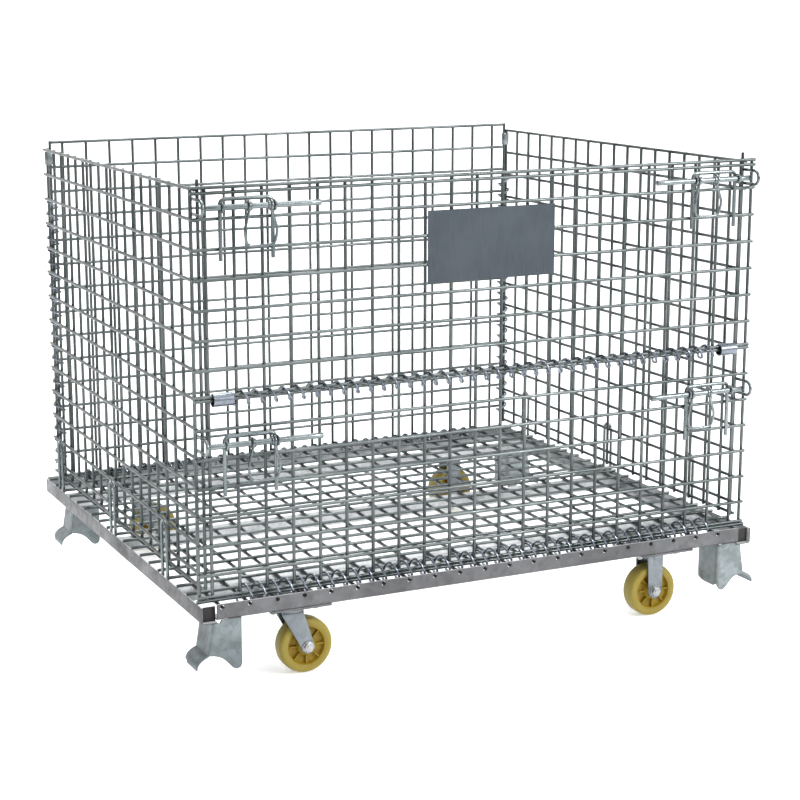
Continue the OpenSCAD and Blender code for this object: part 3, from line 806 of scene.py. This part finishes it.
def handle(node, bolt_node, body):
    """A bail handle bent from one wire: a loop round the bolt, a kinked arm, a bottom bar and back."""
    low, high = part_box(node)
    bolt_low, bolt_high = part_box(bolt_node)
    x = (low.x + high.x) / 2
    y, z = (bolt_low.y + bolt_high.y) / 2, (bolt_low.z + bolt_high.z) / 2
    loop = 7.5 * MM
    half = 19.5 * MM
    arms = []
    for s in (-1, 1):
        turn = [np.array((x + s * half, y - loop * math.sin(a), z - loop * math.cos(a)))
                for a in np.linspace(math.radians(20), math.radians(355), 22)]
        if s < 0:
            turn = turn[::-1]
        arms.append(turn)
    bends = [(-24, -2.4, -22), (-29, -5, -40), (-24.5, -1.5, -64.5)]
    bends += [(0, -1, -66)] + [(-u, v, w) for u, v, w in reversed(bends)]
    points = [np.array((x + u * MM, y + v * MM, z + w * MM)) for u, v, w in bends]
    middle = round_path([arms[0][-1]] + points + [arms[1][0]], 9 * MM, 6)
    path = list(arms[0]) + list(middle[1:-1]) + list(arms[1])
    verts, faces = tube([path], HANDLE_WIRE_R, 12)
    add_mesh(node + "_bent", verts, faces, LATCH, body, (node,))


def eyes(node):
    """Loops that take the bolts, each bent from one wire and welded to the front edge of a side panel."""
    low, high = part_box(node)
    x = (low.x + high.x) / 2
    paths = []
    for name in ("bolt_gate_left", "bolt_lower_left"):
        bolt_low, bolt_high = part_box(name)
        y, z = (bolt_low.y + bolt_high.y) / 2, (bolt_low.z + bolt_high.z) / 2
        reach = 12.5 * MM
        path = [np.array((x, high.y, z + reach))]
        for a in np.linspace(0, math.pi, 17):
            path.append(np.array((x, y - reach * math.sin(a), z + reach * math.cos(a))))
        path.append(np.array((x, high.y, z - reach)))
        paths.append(path)
    verts, faces = tube(paths, WIRE_R, 14)
    add_mesh(node + "_bent", verts, faces, LATCH, "base", (node,))


def side_stops():
    """Hairpins of wire that stand in the side rails and hold the side panels."""
    low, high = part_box("side_stops")
    paths = []
    radius = 13 * MM
    turn_z = high.z - WIRE_R - radius
    for x in (low.x + WIRE_R, high.x - WIRE_R):
        for y in STOP_Y:
            path = [np.array((x, y - radius, low.z))]
            for a in np.linspace(math.pi, 0, 15):
                path.append(np.array((x, y + radius * math.cos(a), turn_z + radius * math.sin(a))))
            path.append(np.array((x, y + radius, low.z)))
            paths.append(path)
    verts, faces = tube(paths, WIRE_R, 12)
    add_mesh("side_stops_bent", verts, faces, LATCH, "base", ("side_stops",))


def make_latches():
    latch_brackets("gate_latch_brackets", "gate", ("bolt_gate_left", "bolt_gate_right"))
    latch_brackets("lower_latch_brackets", "lower_front", ("bolt_lower_left", "bolt_lower_right"))
    for panel in ("gate", "lower"):
        for side in ("left", "right"):
            bolt(f"bolt_{panel}_{side}", f"{panel}_{side}_bolt")
            handle(f"handle_{panel}_{side}", f"bolt_{panel}_{side}", f"{panel}_{side}_handle")
    eyes("left_panel_eyes")
    eyes("right_panel_eyes")
    side_stops()


# ---------------------------------------------------------------- sheet fittings

def corner_clips():
    """Folded strips that close round the two wires at the top of each rear corner."""
    low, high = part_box("corner_clips")
    t = 1.5 * MM
    parts = []
    for side in (-1, 1):
        outer = high.x if side > 0 else -low.x
        half_long = (outer - (CORNER_X - WIRE_R - 0.3 * MM - t)) / 2
        centre_x = side * (outer - half_long)
        half_wide = (high.y - low.y) / 2
        centre_y = (high.y + low.y) / 2
        outer_loop = loop_outline(half_long, half_wide, 3.2 * MM)
        inner_loop = loop_outline(half_long - t, half_wide - t, 1.8 * MM)
        count = len(outer_loop)
        verts = []
        for z in (low.z, high.z):
            for loop in (outer_loop, inner_loop):
                verts += [(centre_x + u, centre_y + v, z) for u, v in loop]
        faces = []
        for i in range(count):
            j = (i + 1) % count
            inner, upper = count, 2 * count
            faces.append((i, j, upper + j, upper + i))
            faces.append((inner + j, inner + i, upper + inner + i, upper + inner + j))
            faces.append((j, i, inner + i, inner + j))
            faces.append((upper + i, upper + j, upper + inner + j, upper + inner + i))
        parts.append((verts, faces))
    verts, faces = join(parts)
    piece = add_mesh("corner_clips_folded", verts, faces, LATCH, "base", ("corner_clips",))
    modify(piece, bevel(0.35 * MM, angle=60))


def loop_outline(half_u, half_v, radius, steps=5):
    """A rounded rectangle about the origin."""
    outline = []
    for corner, (su, sv) in enumerate(((1, 1), (-1, 1), (-1, -1), (1, -1))):
        for k in range(steps + 1):
            a = math.pi / 2 * (corner + k / steps)
            u = su * (half_u - radius) + radius * math.cos(a)
            v = sv * (half_v - radius) + radius * math.sin(a)
            outline.append((u, v))
    return outline


def hinge_sleeves():
    """Two rolled tubes round the hinge wires, outside the ends of the gate spiral."""
    low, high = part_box("hinge_sleeves")
    outer = (high.z - low.z) / 2
    inner = outer - 1.8 * MM
    length = 36 * MM
    tip = [(0.3 * MM, inner), (0, inner + 0.3 * MM), (0, outer - 0.5 * MM), (0.5 * MM, outer)]
    profile = tip + [(length / 3, outer), (length * 2 / 3, outer)]
    profile += [(length - along, radius) for along, radius in reversed(tip)]
    parts = []
    for start in (low.x, high.x - length):
        parts.append(lathe(profile, (1, 0, 0), (start, (low.y + high.y) / 2, (low.z + high.z) / 2), 40))
    verts, faces = join(parts)
    add_mesh("hinge_sleeves_rolled", verts, faces, SPRING, "lower_front", ("hinge_sleeves",))


def name_plate():
    """A blank sheet, very slightly dished, with its corners rounded and four spot-weld dimples."""
    low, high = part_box("name_plate")
    columns, rows = 50, 26
    half_u, half_v = (high.x - low.x) / 2, (high.z - low.z) / 2
    centre_z = (high.z + low.z) / 2
    spots = [(su * (half_u - 12 * MM), sv * (half_v - 12 * MM)) for su in (-1, 1) for sv in (-1, 1)]
    thick = (high.y - low.y) * 0.8
    spot_r = 4.5 * MM
    verts = []
    for j in range(rows + 1):
        for i in range(columns + 1):
            u = half_u * (2 * i / columns - 1)
            v = half_v * (2 * j / rows - 1)
            dish = 0.25 * MM * (1 - (u / half_u) ** 2) * (1 - (v / half_v) ** 2)
            dimple = sum(0.5 * MM * math.exp(-((u - a) ** 2 + (v - b) ** 2) / spot_r ** 2) for a, b in spots)
            verts.append((u + (low.x + high.x) / 2, low.y + 0.1 * MM + dimple - dish * 0.4, centre_z + v))
    faces = []
    for j in range(rows):
        for i in range(columns):
            a = j * (columns + 1) + i
            faces.append((a, a + 1, a + columns + 2, a + columns + 1))
    stands_for = ("name_plate",)
    piece = add_mesh("name_plate_sheet", verts, faces, PLATE, "gate", stands_for, sheet=True)
    modify(piece, solidify(thick), bevel(0.25 * MM, 1, 60))


# ---------------------------------------------------------------- casters

def hexagon(centre, axis, flat, height, chamfer=0.9 * MM):
    """A hexagon head with a chamfered outer face; axis points out of the head."""
    axis = Vector(axis)
    up = Vector((0, 0, 1)) if abs(axis.z) < 0.9 else Vector((1, 0, 0))
    right = axis.cross(up).normalized()
    up = right.cross(axis)
    verts = []
    corner_r = flat / math.sqrt(3)
    levels = [(0, corner_r), (height - chamfer, corner_r), (height, corner_r - 1.4 * chamfer)]
    for along, radius in levels:
        for k in range(6):
            a = math.pi / 3 * k
            verts.append(Vector(centre) + axis * along + (right * math.cos(a) + up * math.sin(a)) * radius)
    faces = [tuple(reversed(range(6))), tuple(12 + k for k in range(6))]
    for level in range(2):
        for k in range(6):
            j = (k + 1) % 6
            faces.append((level * 6 + k, level * 6 + j, level * 6 + 6 + j, level * 6 + 6 + k))
    return verts, faces


def disc(centre, axis, radius, height, edge=0.5 * MM, steps=36):
    """A short turned disc with a rounded outer edge."""
    profile = [(0, POINT), (0, radius), (height - edge, radius), (height - 0.3 * edge, radius - 0.3 * edge)]
    profile += [(height, radius - edge), (height, POINT)]
    return lathe(profile, axis, centre, steps)


def wheel(node, body):
    """A cast wheel: crowned tread, hub core with a ribbed recess on each side, and a steel bearing sleeve."""
    low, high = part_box(node)
    centre = (low + high) / 2
    half = (high.y - low.y) / 2 - 2 * MM
    edge = 6 * MM
    crown = 0.6 * MM
    right = []
    for k in range(8):
        a = math.pi / 2 * (1 - k / 7)
        right.append((half - edge + edge * math.cos(a), WHEEL_R - crown - edge + edge * math.sin(a)))
    right += [(half, 38.5 * MM), (half - 0.7 * MM, 37.2 * MM), (half - 1.0 * MM, 35.5 * MM)]
    middle = [(half * t, WHEEL_R - crown * t * t) for t in np.linspace(-0.6, 0.6, 7)]
    outline = [(-a, r) for a, r in reversed(right)] + middle + right
    verts, faces = lathe(outline, (0, 1, 0), centre, 96)
    finish = polyurethane(node + "_tread_finish", centre)
    add_mesh(node + "_tread", verts, faces, finish, body, (node,), 60)
    deep = 7 * MM
    face = half - 0.8 * MM
    left = [(-face, 35.7 * MM), (-face, 34.0 * MM), (-face + deep, 32.0 * MM), (-face + deep, 19.5 * MM),
            (-face + 1 * MM, 17.0 * MM), (-half - 1.2 * MM, 16.0 * MM), (-half - 2 * MM, 15.0 * MM),
            (-half - 2 * MM, 9.4 * MM)]
    hub = left + [(-a, r) for a, r in reversed(left)]
    parts = [lathe(hub, (0, 1, 0), centre, 72)]
    for side in (-1, 1):
        for k in range(8):
            parts.append(rib(centre, side, face, deep, 2 * math.pi * k / 8))
    verts, faces = join(parts)
    core = add_mesh(node + "_core", verts, faces, HUB, body, ())
    modify(core, bevel(0.5 * MM))
    sleeve = [(-half - 1.9 * MM, 5.1 * MM), (-half - 1.9 * MM, 8.9 * MM), (-half - 1.4 * MM, 9.39 * MM),
              (half + 1.4 * MM, 9.39 * MM), (half + 1.9 * MM, 8.9 * MM), (half + 1.9 * MM, 5.1 * MM)]
    verts, faces = lathe(sleeve, (0, 1, 0), centre, 40)
    add_mesh(node + "_bearing", verts, faces, FASTENER, body, ())


def rib(centre, side, face, deep, angle):
    """A radial rib in the recess of a wheel core."""
    out = Vector((math.cos(angle), 0, math.sin(angle)))
    across = Vector((-math.sin(angle), 0, math.cos(angle)))
    axis = Vector((0, side, 0))
    half = 1.4 * MM
    verts = []
    for radius in (17.5 * MM, 33.0 * MM):
        for along in (face - deep - 0.3 * MM, face - 1.6 * MM):
            for s in (-1, 1):
                verts.append(centre + out * radius + across * (s * half) + axis * along)
    faces = [(0, 1, 3, 2), (4, 6, 7, 5), (0, 4, 5, 1), (2, 3, 7, 6), (0, 2, 6, 4), (1, 5, 7, 3)]
    return verts, faces


def fork(node, body, axle, crown_z, half_top, low_r, centre_top):
    """A fork pressed from one strip: two legs that run down to a rounded end and a crown between them."""
    leg_y = 20.25 * MM
    bend = 7 * MM
    path = []
    steps = 12
    tip = axle.z - low_r
    for k in range(steps + 1):
        path.append((-leg_y, tip + (crown_z - bend - tip) * k / steps))
    for k in range(1, 7):
        a = math.pi / 2 * k / 6
        path.append((-leg_y + bend - bend * math.cos(a), crown_z - bend + bend * math.sin(a)))
    for k in range(1, 5):
        path.append((-leg_y + bend + (2 * leg_y - 2 * bend) * k / 5, crown_z))
    path += [(-y, z) for y, z in reversed(path[:steps + 7])]
    rows = 10
    verts = []
    for y, z in path:
        if z <= axle.z:
            drop = (axle.z - z) / low_r
            half = low_r * math.sqrt(max(0.02, 1 - drop * drop))
            middle = axle.x
        else:
            t = min(1, (z - axle.z) / (crown_z - bend - axle.z))
            half = low_r + (half_top - low_r) * t
            middle = axle.x + (centre_top - axle.x) * t
        for r in range(rows + 1):
            u = 2 * r / rows - 1
            verts.append((middle + half * u, axle.y + y, z))
    faces = []
    for i in range(len(path) - 1):
        for r in range(rows):
            a = i * (rows + 1) + r
            faces.append((a, a + 1, a + rows + 2, a + rows + 1))
    piece = add_mesh(node + "_pressed", verts, faces, CASTER, body, (node,), sheet=True)
    modify(piece, solidify(SHEET, 0.0), bevel(0.5 * MM))


def swivel_caster(end):
    """The fork of a swivel caster and the round crown over its ball race."""
    plate_low, plate_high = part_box("swivel_plate_" + end)
    wheel_low, wheel_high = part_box("wheel_swivel_" + end)
    axle = (wheel_low + wheel_high) / 2
    body = "swivel_" + end
    pivot = (plate_low + plate_high) / 2
    fork("swivel_fork_" + end, body, axle, 119 * MM, 20 * MM, 13 * MM, pivot.x)
    crown = [(0, 6.2 * MM), (0, 27.5 * MM), (1.2 * MM, 29 * MM), (4.6 * MM, 29 * MM), (5.8 * MM, 28 * MM)]
    crown += [(6.2 * MM, 26 * MM), (6.2 * MM, 6.2 * MM)]
    verts, faces = lathe(crown, (0, 0, 1), (pivot.x, pivot.y, 117.2 * MM), 56)
    add_mesh(f"swivel_crown_{end}", verts, faces, CASTER, body, ())


def fixed_caster(end):
    """The fork, mounting plate and side rivets of a fixed caster."""
    plate_low, plate_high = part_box("fixed_fork_" + end)
    wheel_low, wheel_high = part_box("wheel_fixed_" + end)
    axle = (wheel_low + wheel_high) / 2
    fork("fixed_fork_" + end, "base", axle, 128.6 * MM, 17 * MM, 14.6 * MM, axle.x)
    half_x, half_y = (plate_high.x - plate_low.x) / 2, 40 * MM
    outline = loop_outline(half_x, half_y, 8 * MM)

    def place(u, v, w):
        return (axle.x + u, axle.y + v, plate_high.z - 4 * MM + w)

    verts, faces = extrude(outline, place, 4 * MM)
    modify(add_mesh(f"fixed_plate_{end}_cut", verts, faces, CASTER, "base", ()), bevel(0.5 * MM))
    rivets = []
    for s in (-1, 1):
        rivets.append(disc((axle.x, axle.y + s * 21.3 * MM, 117 * MM), (0, s, 0), 5 * MM, 1.8 * MM, 1.2 * MM))
    verts, faces = join(rivets)
    add_mesh(f"fixed_rivets_{end}", verts, faces, CASTER, "base", ())


def axle(node, body):
    """Axle bolt with a chamfered head, a washer under it and a lock nut at the other end."""
    low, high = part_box(node)
    centre = (low + high) / 2
    half = (high.y - low.y) / 2
    outer = half - 8 * MM
    rod = [(-half, POINT), (-half, 4.4 * MM), (-half + 0.6 * MM, 5 * MM)]
    rod += [(-along, radius) for along, radius in reversed(rod)]
    parts = [lathe(rod, (0, 1, 0), centre, 28)]
    for s in (-1, 1):
        face = centre + Vector((0, s * outer, 0))
        parts.append(disc(face, (0, s, 0), 10.4 * MM, 1.5 * MM, 0.4 * MM))
        parts.append(hexagon(face + Vector((0, s * 1.5 * MM, 0)), (0, s, 0), 16 * MM, 5.2 * MM))
    verts, faces = join(parts)
    add_mesh(node + "_turned", verts, faces, FASTENER, body, (node,))


def make_casters():
    for end in ("front", "rear"):
        for kind in ("swivel", "fixed"):
            wheel(f"wheel_{kind}_{end}", f"wheel_{kind}_{end}_body")
            axle(f"axle_{kind}_{end}", f"swivel_{end}" if kind == "swivel" else "base")
        swivel_caster(end)
        fixed_caster(end)


# ---------------------------------------------------------------- carried-over CAD nodes

def finish_cad_nodes():
    """Gives every CAD node that is still shown its own procedural finish."""
    finishes = {
        "zinc_sheet": SHEET_ZINC, "zinc_wire": WIRE, "foot_zinc": FOOT_ZINC, "spring_wire": SPRING,
        "latch_wire": LATCH, "name_plate": PLATE, "caster_zinc": CASTER, "fastener": FASTENER,
        "wheel_yellow": HUB,
    }
    slots = {part["node"]: part["material_slot"] for part in frame["record"]["subparts"]}
    for name, obj in nodes.items():
        # the cross channels get the pale channel colour, which is painted light on parts that lie in the shade
        # of the floor mesh
        finish = CHANNEL_PAINTED_LIGHT if name == "cross_channels" else finishes[slots[name]]
        for i in range(len(obj.material_slots)):
            obj.material_slots[i].material = finish
        obj.data.set_sharp_from_angle(angle=math.radians(35))


# ---------------------------------------------------------------- stage

CAMERA_YAW, CAMERA_PITCH, CAMERA_ROLL = 24.33, 11.78, -0.37      # degrees


def soft_light(name, place, aim, size, power):
    data = bpy.data.lights.new(name, "AREA")
    data.shape = "RECTANGLE"
    data.size, data.size_y = size
    data.energy = power
    lamp = bpy.data.objects.new(name, data)
    lamp.location = place
    lamp.rotation_euler = (Vector(aim) - Vector(place)).to_track_quat("-Z", "Y").to_euler()
    bpy.context.scene.collection.objects.link(lamp)


def make_floor():
    """A pale seamless sweep: a flat floor that curves up behind the object."""
    back, turn = 3.6, 1.6
    profile = [(-7.0, 0.0), (back, 0.0)]
    for a in np.linspace(0.08, math.pi / 2, 16):
        profile.append((back + turn * math.sin(a), turn * (1 - math.cos(a))))
    profile.append((back + turn, 6.0))
    verts = []
    for x in (-9.0, 9.0):
        verts += [(x, y, z) for y, z in profile]
    count = len(profile)
    faces = [(i, i + 1, count + i + 1, count + i) for i in range(count - 1)]
    mesh = bpy.data.meshes.new("floor")
    mesh.from_pydata(verts, [], faces)
    mesh.shade_smooth()
    floor = bpy.data.objects.new("floor", mesh)
    floor.rotation_euler.z = -math.radians(CAMERA_YAW)
    bpy.context.scene.collection.objects.link(floor)
    g = Graph("floor_finish")
    cloud = g.spread(g.noise(0.8, 2), 0.3, 0.7)
    g.feed(g.bsdf.inputs["Emission Color"], (1, 1, 1, 1))
    g.feed(g.bsdf.inputs["Emission Strength"], 0.42)
    floor.data.materials.append(g.finish(g.mix(cloud, (0.80, 0.80, 0.80), (0.84, 0.84, 0.84)), 0.6))


def make_world():
    """A studio tent, bright overhead and to the right: round wires get a light top and a dark left flank."""
    world = bpy.data.worlds.new("studio")
    world.use_nodes = True
    tree = world.node_tree
    place = tree.nodes.new("ShaderNodeTexCoord")
    toward = tree.nodes.new("ShaderNodeVectorMath")
    toward.operation = "DOT_PRODUCT"
    toward.inputs[1].default_value = (0.50, -0.20, 0.84)
    rise = tree.nodes.new("ShaderNodeMapRange")
    rise.inputs["From Min"].default_value = -0.15
    rise.inputs["From Max"].default_value = 0.85
    rise.inputs["To Min"].default_value = 0.14
    rise.inputs["To Max"].default_value = 1.5
    tree.links.new(place.outputs["Generated"], toward.inputs[0])
    tree.links.new(toward.outputs["Value"], rise.inputs["Value"])
    tree.links.new(rise.outputs["Result"], tree.nodes["Background"].inputs["Strength"])
    tree.nodes["Background"].inputs["Color"].default_value = (0.96, 0.98, 1.0, 1)
    bpy.context.scene.world = world


def make_camera():
    """The camera stands front left of the gate, a little above the rim."""
    data = bpy.data.cameras.new("camera")
    data.sensor_width = 36
    data.lens = 84.5
    data.shift_x = 0.0724
    data.shift_y = -0.023
    camera = bpy.data.objects.new("camera", data)
    turn = Matrix.Rotation(-math.radians(CAMERA_YAW), 4, "Z")
    tilt = Matrix.Rotation(math.radians(90 - CAMERA_PITCH), 4, "X")
    roll = Matrix.Rotation(math.radians(CAMERA_ROLL), 4, "Z")
    camera.matrix_world = Matrix.Translation((-1.5705, -3.2924, 1.171)) @ turn @ tilt @ roll
    bpy.context.scene.collection.objects.link(camera)
    bpy.context.scene.camera = camera


def make_stage():
    """Floor, sky, camera and four soft lights, with a key from the front right."""
    make_floor()
    make_world()
    make_camera()
    soft_light("key", (2.4, -3.6, 2.8), (0, 0, 0.4), (1.2, 1.6), 150)
    soft_light("fill", (-3.4, -2.2, 2.0), (0, 0, 0.4), (1.6, 2.2), 14)
    soft_light("top", (0, 0.6, 3.8), (0, 0, 0.3), (3.0, 3.0), 150)
    soft_light("back", (0.6, 3.0, 2.6), (0.4, 6.0, 1.0), (3.0, 1.5), 60)
    bpy.context.scene.view_settings.view_transform = "Standard"


finish_cad_nodes()
make_panels()
make_spirals()
make_rails()
make_feet()
make_latches()
corner_clips()
hinge_sleeves()
name_plate()
make_casters()
make_stage()
